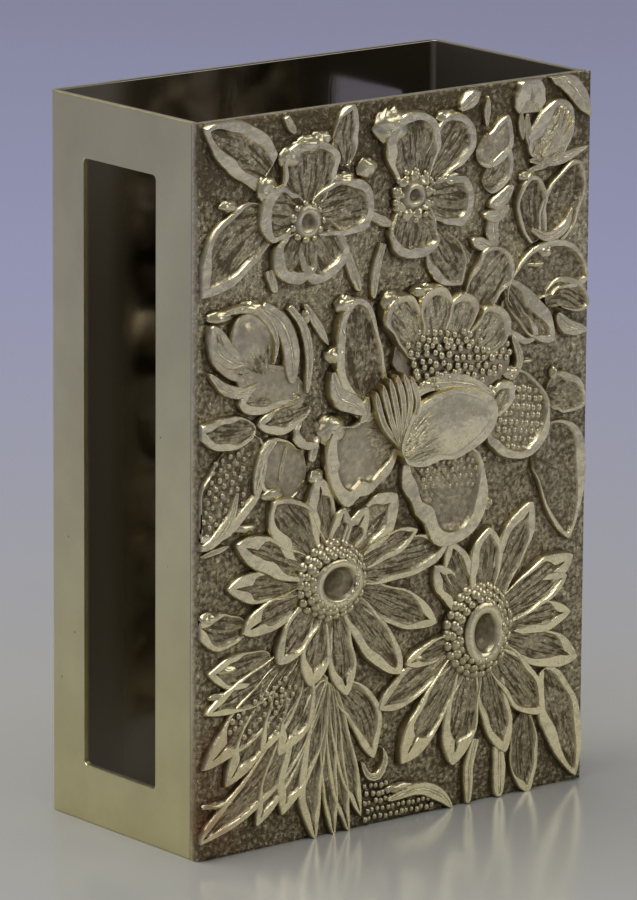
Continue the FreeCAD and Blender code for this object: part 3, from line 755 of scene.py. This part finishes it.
# Buds
# A half-open rose at the left edge, and buds and folded petals down the right edge, wrapped in smooth bands.
forms = new_forms()
raise_form(
    forms, [(0.27, 0.605), (0.19, 0.635), (0.095, 0.655)], 3.4, 0.45, belly=0.5, foot_end=0.3, left=0.4,
    right=0.5, tip=0.7, floor=1.0, lines=0, shine=0.6,
)
raise_form(
    forms, [(0.17, 0.652), (0.137, 0.69), (0.108, 0.738)], 4.2, 0.55, belly=0.45, foot_end=0.5, blunt=0.5,
    left=0.5, right=0.5, tip=0.5, taper=1.0, floor=0.95, crown=0.25, lines=1, fade=0.3, shine=0.72,
)
raise_form(
    forms, [(0.15, 0.652), (0.078, 0.675), (0.034, 0.73)], 2.3, 0.68, belly=0.55, foot_end=0.4, blunt=0.55,
    left=0.9, right=0.9, tip=0.8, floor=0.95, crown=0.0, lines=1, shine=0.8,
)
raise_band(forms, [(0.045, 0.738), (0.095, 0.745), (0.15, 0.738), (0.192, 0.7), (0.186, 0.662)], 0.8, 0.7)
raise_band(forms, [(0.032, 0.722), (0.048, 0.693), (0.08, 0.676), (0.118, 0.669)], 1.3, 0.74)
raise_band(
    forms, [(0.16, 0.742), (0.208, 0.718), (0.232, 0.68), (0.236, 0.63)], 1.7, 0.58, foot_end=0.7,
    blunt=0.4, shine=0.85,
)
raise_band(
    forms, [(0.228, 0.738), (0.266, 0.705), (0.278, 0.665), (0.272, 0.615)], 0.9, 0.6, foot_end=0.7,
    blunt=0.4,
)
raise_band(forms, [(0.268, 0.738), (0.3, 0.708), (0.33, 0.675)], 0.9, 0.42)
raise_band(forms, [(0.03, 0.664), (0.068, 0.641), (0.11, 0.632), (0.155, 0.643)], 1.1, 0.64)
raise_form(
    forms, [(0.255, 0.625), (0.17, 0.618), (0.1, 0.618)], 2.4, 0.61, left=0.9, right=0.3, tip=0.8,
    floor=0.6, lines=1, punch=0.4,
)
raise_form(
    forms, [(0.285, 0.595), (0.22, 0.585), (0.148, 0.585)], 2.2, 0.58, left=0.9, right=0.3, tip=0.8,
    floor=0.6, lines=1, punch=0.5,
)
raise_form(
    forms, [(0.29, 0.58), (0.26, 0.54)], 2.8, 0.58, blunt=0.5, left=0.5, right=0.7, tip=0.9, lines=0,
    punch=0.8,
)
set_knobs(forms, [
    (0.055, 0.738, 2.0, 0.8, 0.74), (0.135, 0.744, 2.0, 0.8, 0.74), (0.098, 0.744, 1.4, 0.6, 0.7),
    (0.245, 0.612, 1.0, 0.6, 0.64), (0.275, 0.72, 0.6, 0.9, 0.51),
])
raise_form(
    forms, [(0.862, 0.886), (0.9, 0.922), (0.945, 0.962)], 4.0, 0.65, belly=0.5, foot_end=0.4, blunt=0.5,
    left=1.4, right=0.3, tip=0.5, floor=1.0, crown=0.15,
)
for across, up in ((0.922, 0.958), (0.94, 0.95), (0.953, 0.936)):
    middle = ((across + 0.872) / 2 + 0.008, (up + 0.89) / 2 - 0.006)
    raise_band(forms, [(0.87, 0.89), middle, (across, up)], 0.6, 0.82, foot_end=0.3, blunt=0.4)
raise_band(forms, [(0.845, 0.886), (0.915, 0.882), (1.005, 0.896)], 1.1, 0.45)
raise_band(forms, [(0.84, 0.872), (0.885, 0.878), (0.92, 0.89)], 0.7, 0.45)
raise_form(
    forms, [(0.9, 0.775), (0.932, 0.82), (0.975, 0.88)], 4.0, 0.6, belly=0.45, foot_end=0.6, left=0.45,
    right=0.5, tip=0.5, taper=1.0, floor=0.55, lines=0, punch=1.0,
)
raise_form(
    forms, [(0.872, 0.775), (0.852, 0.82), (0.852, 0.868)], 3.0, 0.61, foot_end=0.6, blunt=0.5, left=0.45,
    right=0.5, tip=0.5, taper=1.0, floor=0.6, lines=2, punch=0.8,
)
raise_band(forms, [(0.848, 0.792), (0.89, 0.778), (0.935, 0.788), (0.955, 0.816)], 1.0, 0.67)
raise_form(
    forms, [(0.8, 0.69), (0.86, 0.725), (0.92, 0.735), (1.004, 0.71)], 4.4, 0.6, belly=0.55, foot_end=0.2,
    left=0.7, right=0.3, tip=0.6, lines=0, punch=0.8,
)
raise_form(
    forms, [(0.89, 0.69), (0.94, 0.697), (1.006, 0.672)], 2.6, 0.65, left=0.7, right=0.3, tip=0.5,
    floor=0.6, lines=1,
)
raise_form(
    forms, [(0.79, 0.722), (0.85, 0.675), (0.912, 0.63)], 2.9, 0.67, belly=0.5, left=1.5, right=0.4, tip=0.8,
    floor=0.6, lines=1, punch=0.4,
)
raise_form(
    forms, [(0.785, 0.7), (0.82, 0.66), (0.872, 0.64)], 2.4, 0.58, left=0.4, right=0.8, tip=0.7,
    lines=0, punch=0.8,
)
raise_band(forms, [(0.922, 0.668), (0.95, 0.648), (1.006, 0.638)], 1.4, 0.6)
raise_form(
    forms, [(0.695, 0.69), (0.745, 0.735), (0.79, 0.768)], 4.0, 0.61, blunt=0.5, left=0.6, right=0.5, tip=0.5,
    floor=0.75, lines=1, punch=0.6,
)
set_knobs(forms, [
    (0.84, 0.865, 1.6, 0.6, 0.64), (0.89, 0.758, 1.2, 0.8, 0.7), (0.863, 0.762, 0.8, 0.5, 0.58),
    (0.868, 0.742, 1.5, 0.4, 0.64), (0.852, 0.608, 1.4, 0.35, 0.38),
])
hang_on_panel("buds", forms)

# Leaves
# Leaves, smooth bands and short stems fill the ground between the flowers. Many of them run to the edge of
# the sheet.
stem_mm = 0.45
leaf = dict(belly=0.45, foot_end=0.2, blunt=0.8, floor=0.6, lines=3, punch=0.3)
forms = new_forms()
leaves = [
    ([(0.178, 0.922), (0.1, 0.962), (0.018, 0.992)], 4.2, 0.53, dict(
        left=1.15, right=1.15, tip=0.6, taper=0.9, foot_end=0.8, belly=0.35, lines=2, punch=0.5)),
    ([(0.19, 0.862), (0.1, 0.832), (0.008, 0.766)], 5.0, 0.53, dict(
        left=0.75, right=0.7, tip=1.2, lines=2, punch=0.4)),
    ([(0.372, 0.915), (0.372, 0.96), (0.392, 1.0)], 2.6, 0.43, dict(
        left=0.25, right=0.7, tip=0.7, lines=1)),
    ([(0.15, 0.578), (0.075, 0.578), (-0.002, 0.59)], 2.8, 0.5, dict(
        left=0.8, right=0.7, tip=0.9, lines=1)),
    ([(0.265, 0.49), (0.215, 0.515), (0.175, 0.562)], 4.6, 0.46, dict(
        left=0.6, right=0.2, tip=0.5, blunt=0.6, floor=0.5, lines=0, punch=0.15)),
    ([(0.225, 0.548), (0.215, 0.525), (0.205, 0.502)], 0.5, 0.4, None),
    ([(0.15, 0.57), (0.09, 0.5), (0.0, 0.44)], 5.4, 0.46, dict(
        left=0.9, right=0.3, tip=0.8, blunt=0.6, floor=0.45, lines=0, punch=1.0)),
    ([(0.2, 0.562), (0.16, 0.535), (0.142, 0.488)], 1.0, 0.53, None),
    ([(0.102, 0.497), (0.082, 0.46), (0.04, 0.435), (-0.005, 0.428)], 1.1, 0.53, None),
    ([(0.015, 0.417), (0.085, 0.426)], 0.6, 0.35, None),
    ([(0.13, 0.31), (0.06, 0.31), (-0.005, 0.326)], 2.9, 0.46, dict(left=0.7, right=0.5, tip=0.9, lines=2)),
    ([(0.19, 0.262), (0.11, 0.25), (0.03, 0.255)], 3.0, 0.43, dict(left=0.6, right=0.6, tip=0.8, lines=3)),
    ([(0.66, 0.97), (0.712, 0.992)], 1.3, 0.62, None),
    ([(0.732, 0.942), (0.734, 0.984)], 0.7, 0.43, None),
    ([(0.705, 0.905), (0.755, 0.912), (0.788, 0.955)], 3.0, 0.56, dict(
        left=0.4, right=0.8, tip=0.6, floor=0.8, lines=0)),
    ([(0.725, 0.862), (0.765, 0.875), (0.792, 0.912)], 2.6, 0.5, dict(
        left=0.4, right=0.7, tip=0.5, lines=3)),
    ([(0.8, 0.856), (0.77, 0.838), (0.735, 0.832)], 1.4, 0.56, None),
    ([(0.79, 0.828), (0.758, 0.818), (0.72, 0.822)], 1.3, 0.56, None),
    ([(0.745, 0.775), (0.69, 0.79)], 1.2, 0.56, None),
    ([(0.765, 0.83), (0.75, 0.8), (0.76, 0.77)], 1.4, 0.43, None),
    ([(0.596, 0.806), (0.632, 0.765), (0.672, 0.728)], 3.6, 0.46, dict(
        left=0.2, right=0.9, tip=0.5, floor=0.7, lines=2, punch=0.7)),
    ([(0.845, 0.952), (0.848, 1.002)], 3.0, 0.53, dict(
        left=1.4, right=1.4, tip=1.4, foot_end=0.8, blunt=0.4, floor=1.0, lines=0)),
    ([(0.822, 0.955), (0.826, 0.915)], 0.7, 0.43, None),
    ([(0.838, 0.952), (0.842, 0.905)], 0.7, 0.43, None),
    ([(0.9, 1.0), (0.955, 0.982), (1.008, 0.935)], 1.8, 0.5, None),
    ([(0.9, 0.562), (0.95, 0.555), (1.006, 0.532)], 3.4, 0.48, dict(
        left=0.8, right=0.5, tip=0.5, lines=2, punch=0.4)),
    ([(0.89, 0.51), (0.935, 0.46), (0.962, 0.345)], 5.4, 0.5, dict(
        left=1.1, right=0.3, tip=0.7, lines=0, punch=0.9)),
    ([(0.905, 0.168), (0.945, 0.1), (0.99, 0.002)], 4.0, 0.53, dict(
        left=0.9, right=1.2, tip=0.8, taper=0.7, lines=3, punch=0.5)),
]
for path, width, height, changes in leaves:
    if changes is None:
        raise_band(forms, path, width, height)
    else:
        raise_form(forms, path, width, height, **{**leaf, **changes})
stems = [
    ([(0.376, 0.797), (0.408, 0.742)], 1.0), ([(0.468, 0.803), (0.45, 0.77), (0.442, 0.728)], 0.9),
    ([(0.43, 0.846), (0.488, 0.826)], 1.0), ([(0.722, 0.088), (0.705, 0.05), (0.702, -0.005)], 1.1),
    ([(0.785, 0.072), (0.785, -0.005)], 1.4), ([(0.222, 0.992), (0.242, 0.968)], 0.8),
    ([(0.18, 0.79), (0.196, 0.758)], 0.9), ([(0.3, 0.545), (0.285, 0.52)], 0.9),
]
for path, width in stems:
    raise_band(forms, path, width, stem_mm, foot_end=0.8, blunt=0.35)
set_knobs(forms, [
    (0.08, 0.884, 1.6, 0.7, 0.56), (0.19, 0.486, 1.8, 0.8, 0.62), (0.03, 0.33, 1.5, 0.8, 0.5),
    (0.08, 0.256, 1.6, 0.6, 0.5), (0.125, 0.446, 2.0, 0.5, 0.56), (0.3, 0.498, 1.2, 1.0, 0.66),
])
hang_on_panel("leaves_and_stems", forms)

# Leaf sprays
# Two feathery sprays fan out at the lower left, with a beaded arch and a scroll along the bottom edge. One
# more blade is at the lower right, and a patch of beads is at the left edge.
blade_mm = 0.5
forms = new_forms()
blades = [
    ([(0.262, 0.262), (0.15, 0.225), (0.02, 0.2)], 2.8, 0.4, 0.4, 0.9, 0.8),
    ([(0.258, 0.256), (0.14, 0.185), (0.016, 0.124)], 3.4, 0.4, 0.4, 1.8, 0.8),
    ([(0.258, 0.25), (0.16, 0.165), (0.072, 0.094)], 3.2, 0.4, 0.4, 1.4, 0.8),
    ([(0.262, 0.248), (0.215, 0.185), (0.16, 0.132)], 2.8, 0.5, 0.4, 0.9, 0.8),
    ([(0.268, 0.245), (0.26, 0.18), (0.205, 0.122)], 3.2, 0.7, 0.4, 1.2, 0.8),
    ([(0.33, 0.222), (0.18, 0.1), (0.0, 0.022)], 3.4, 0.6, 0.5, 0.9, 0.3),
    ([(0.325, 0.218), (0.22, 0.11), (0.15, 0.03)], 3.0, 0.4, 0.4, 0.9, 0.3),
    ([(0.33, 0.215), (0.26, 0.11), (0.215, 0.038)], 3.4, 0.5, 0.8, 1.2, 0.3),
    ([(0.334, 0.212), (0.29, 0.08), (0.302, -0.01)], 2.4, 0.5, 0.9, 1.2, 0.3),
    ([(0.338, 0.21), (0.338, 0.08), (0.35, -0.01)], 1.8, 0.4, 0.4, 0.9, 0.3),
    ([(0.342, 0.21), (0.36, 0.08), (0.39, -0.01)], 1.8, 0.4, 0.5, 0.9, 0.3),
    ([(0.346, 0.208), (0.385, 0.09), (0.42, 0.012)], 2.0, 0.5, 0.5, 0.9, 0.3),
    ([(0.36, 0.205), (0.425, 0.16), (0.452, 0.09)], 3.2, 0.7, 0.6, 0.9, 0.3),
    ([(0.855, 0.112), (0.85, 0.05), (0.862, -0.01)], 3.0, 0.6, 0.3, 0.8, 0.6),
]
for path, width, left, right, tip, punch in blades:
    style = dict(leaf, lines=4, left=left, right=right, tip=tip, punch=punch)
    raise_form(forms, path, width, blade_mm, **style)
raise_band(forms, [(0.49, 0.028), (0.575, 0.034), (0.63, 0.018), (0.662, -0.005)], 1.3, 0.49)
raise_band(forms, [(0.422, 0.09), (0.44, 0.068), (0.466, 0.066), (0.482, 0.085), (0.476, 0.104)], 0.8, 0.49)
for row in range(5):
    for place in range(14):
        across = 0.435 + place * 0.0135 + (row % 2) * 0.006
        up = 0.006 + row * bead_row_share
        if up < 0.060 - 0.30 * max(across - 0.475, 0.0) or up < 0.026 - 0.15 * max(across - 0.55, 0.0):
            bead_on_sheet(forms, across, up, 0.15, 0.24)
for start, end, count in (
    ((0.09, 0.185), (0.225, 0.228), 10), ((0.085, 0.17), (0.215, 0.215), 10),
    ((0.12, 0.16), (0.215, 0.205), 8), ((0.17, 0.16), (0.235, 0.215), 8), ((0.2, 0.155), (0.25, 0.215), 8),
):
    for place in range(count):
        part = place / (count - 1)
        across, up = (low + (high - low) * part for low, high in zip(start, end))
        bead_on_sheet(forms, across, up, 0.38, 0.25)
for row in range(9):
    for place in range(6):
        across = 0.010 + place * 0.019 + row * 0.005
        up = 0.440 + row * 0.0125 + place * 0.003
        if across < 0.125:
            bead_on_sheet(forms, across, up, 0.25, 0.24)
set_knobs(forms, [
    (0.525, 0.042, 2.4, 0.6, 0.53), (0.06, 0.072, 2.6, 0.5, 0.59), (0.56, 0.22, 1.6, 0.6, 0.59),
    (0.06, 0.222, 1.6, 0.5, 0.53),
])
hang_on_panel("leaf_sprays", forms)

# Front sheet
# The sheet that the flowers are raised in. Its ground is matted all over with a small round punch, its edges
# are filed flush with the sides, and its inner face has the hollows that the raising left behind.
ground_cell_mm = 0.25
hollow_mm = 0.7
hollow_share = 0.8
hollow_smoothing = 3
ray_mm = 10.0
painted_shade_mm = 0.35

relief = bmesh.new()
for bm in raised_meshes:
    joined = bpy.data.meshes.new("relief_part")
    bm.to_mesh(joined)
    relief.from_mesh(joined)
    bpy.data.meshes.remove(joined)
    bm.free()
relief_tree = BVHTree.FromBMesh(relief)
relief.free()

sheet = new_forms()
wear_layer = sheet.verts.layers.float["wear_and_painted_light"]
punched_layer = sheet.verts.layers.float["punched"]
across_count = round(panel_width / (ground_cell_mm * MM))
up_count = round(panel_height / (ground_cell_mm * MM))
bmesh.ops.create_grid(sheet, x_segments=across_count, y_segments=up_count, size=0.5)
for vert in sheet.verts:
    vert.co = (
        (panel_low.x + panel_high.x) / 2 + vert.co.x * panel_width,
        ground_y,
        panel_low.z + (vert.co.y + 0.5) * panel_height,
    )
front_verts = list(sheet.verts)
made = bmesh.ops.extrude_face_region(sheet, geom=list(sheet.faces), use_keep_orig=True)["geom"]
inner_verts = [item for item in made if isinstance(item, bmesh.types.BMVert)]
for vert in front_verts:
    hit = relief_tree.find_nearest(vert.co, painted_shade_mm * MM)
    across = (vert.co.x - panel_low.x) / panel_width
    up = (vert.co.z - panel_low.z) / panel_height
    upper_rim = ease((up - 0.86) / 0.09)
    lower_part = ease((0.68 - up) / 0.2)
    lower_rim = ease((0.14 - up) / 0.14)
    left_edge = ease(1 - across / 0.1)
    below_primroses = ease((up - 0.68) / 0.06) * ease((0.87 - up) / 0.04)
    rubbed_bright = (
        0.72 - 0.52 * upper_rim - 0.06 * lower_part - 0.3 * lower_rim - 0.12 * left_edge
        + 0.16 * below_primroses
    )
    # Ground close to the raised forms is darkened: painted shade at their feet.
    clear = ease(hit[3] / (painted_shade_mm * MM)) if hit[0] else 1.0
    vert[wear_layer] = rubbed_bright * (0.6 + 0.4 * clear)
    vert[punched_layer] = 1.0
hollows = {}
for vert in inner_verts:
    outside = Vector((vert.co.x, panel_low.y - MM, vert.co.z))
    hit = relief_tree.ray_cast(outside, Vector((0, 1, 0)), ray_mm * MM)
    rise = max(ground_y - hit[0].y, 0.0) if hit[0] else 0.0
    hollows[vert] = min(rise * hollow_share, hollow_mm * MM)
for vert in inner_verts:
    vert.co.y = panel_high.y
    vert[wear_layer] = 1.0
    vert[punched_layer] = 0.0
hollowed = [
    vert for vert in inner_verts if all(edge.other_vert(vert) in hollows for edge in vert.link_edges)
]
for vert in hollowed:
    vert.co.y -= hollows[vert]
for smoothing in range(hollow_smoothing):
    bmesh.ops.smooth_vert(sheet, verts=hollowed, factor=0.5, use_axis_y=True)
bmesh.ops.recalc_face_normals(sheet, faces=sheet.faces)
front_sheet_mesh = bpy.data.meshes.new("front_sheet")
sheet.to_mesh(front_sheet_mesh)
sheet.free()
for polygon in front_sheet_mesh.polygons:
    faces_out = abs(polygon.normal.y) > 0.5
    polygon.use_smooth = faces_out
    polygon.material_index = 0 if faces_out else 1
front_sheet = add_piece("front_sheet", front_sheet_mesh)
coat(front_sheet, chased_silver, satin_silver)
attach(front_sheet, "root")
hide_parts("front_panel")

# Stage
# A plain pale table top, soft light from a large overhead box, two weaker boxes and a dim room, and the
# camera.
floor_near_hex = "#a4a39d"
floor_far_hex = "#9fa1c6"
floor_half_m = 3.0
floor_near_m = 0.03
floor_far_m = 0.2
floor_roughness = 0.2
room_hex = "#c9c9cc"
room_strength = 0.35

floor_mesh = bpy.data.meshes.new("table_top")
floor_bm = bmesh.new()
bmesh.ops.create_grid(floor_bm, x_segments=1, y_segments=1, size=floor_half_m)
floor_bm.to_mesh(floor_mesh)
floor_bm.free()
floor = add_piece("table_top", floor_mesh)
pale_laminate = bpy.data.materials.new("pale_laminate")
pale_laminate.use_nodes = True
tree = pale_laminate.node_tree
shader = tree.nodes["Principled BSDF"]
place = add_node(tree, "ShaderNodeTexCoord").outputs["Object"]
from_holder = add_node(tree, "ShaderNodeVectorMath", {0: place}, operation="LENGTH").outputs["Value"]
farness = ramp(tree, from_holder, floor_near_m, floor_far_m)
floor_tone = blend(tree, farness, linear(floor_near_hex), linear(floor_far_hex))
tree.links.new(floor_tone, shader.inputs["Base Color"])
shader.inputs["Roughness"].default_value = floor_roughness
coat(floor, pale_laminate)

scene = bpy.context.scene
scene.view_settings.view_transform = "Standard"
world = bpy.data.worlds.new("studio")
world.use_nodes = True
scene.world = world
room_light = world.node_tree.nodes["Background"]
room_light.inputs["Color"].default_value = linear(room_hex)
room_light.inputs["Strength"].default_value = room_strength


def soft_box(name, spot, aim, size, power):
    """A square soft box that faces a point; metres and watts."""
    light = bpy.data.lights.new(name, "AREA")
    light.size = size
    light.energy = power
    lamp = bpy.data.objects.new(name, light)
    lamp.location = spot
    lamp.rotation_euler = (Vector(aim) - Vector(spot)).to_track_quat("-Z", "Y").to_euler()
    scene.collection.objects.link(lamp)


object_middle = (cad_box[0] + cad_box[1]) / 2
soft_box("overhead_box", (-0.1, 0.05, 0.6), object_middle, size=0.5, power=3.7)
soft_box("front_box", (0.5, -0.6, 0.35), object_middle, size=0.4, power=0.8)
soft_box("small_box", (-0.3, -0.36, 0.45), object_middle, size=0.12, power=0.17)

# The camera stands where the photograph was taken from, worked out from the edges of the plain body.
camera_turn = math.radians(-38.985)
camera_rise = math.radians(13.217)
camera_roll = math.radians(0.385)
camera_away_mm = 502.43
picture_shift_mm = (0.336, 0.632)
aim_behind_ground_mm = 8.6
focal_pixels = 6687.6
picture_height_pixels = 900
sensor_mm = 36.0
aim = Vector((0.0, ground_y + aim_behind_ground_mm * MM, (body_low.z + body_high.z) / 2))
backward = Vector((
    math.sin(camera_turn) * math.cos(camera_rise),
    -math.cos(camera_turn) * math.cos(camera_rise),
    math.sin(camera_rise),
))
level_right = Vector((0, 0, 1)).cross(backward).normalized()
level_up = backward.cross(level_right)
right = level_right * math.cos(camera_roll) + level_up * math.sin(camera_roll)
upward = level_up * math.cos(camera_roll) - level_right * math.sin(camera_roll)
away = backward * camera_away_mm - right * picture_shift_mm[0] - upward * picture_shift_mm[1]
camera_data = bpy.data.cameras.new("camera")
camera_data.sensor_width = sensor_mm
camera_data.lens = focal_pixels / picture_height_pixels * sensor_mm
camera = bpy.data.objects.new("camera", camera_data)
turned = Matrix((right, upward, backward)).transposed().to_4x4()
camera.matrix_world = Matrix.Translation(aim + away * MM) @ turned
scene.collection.objects.link(camera)
scene.camera = camera
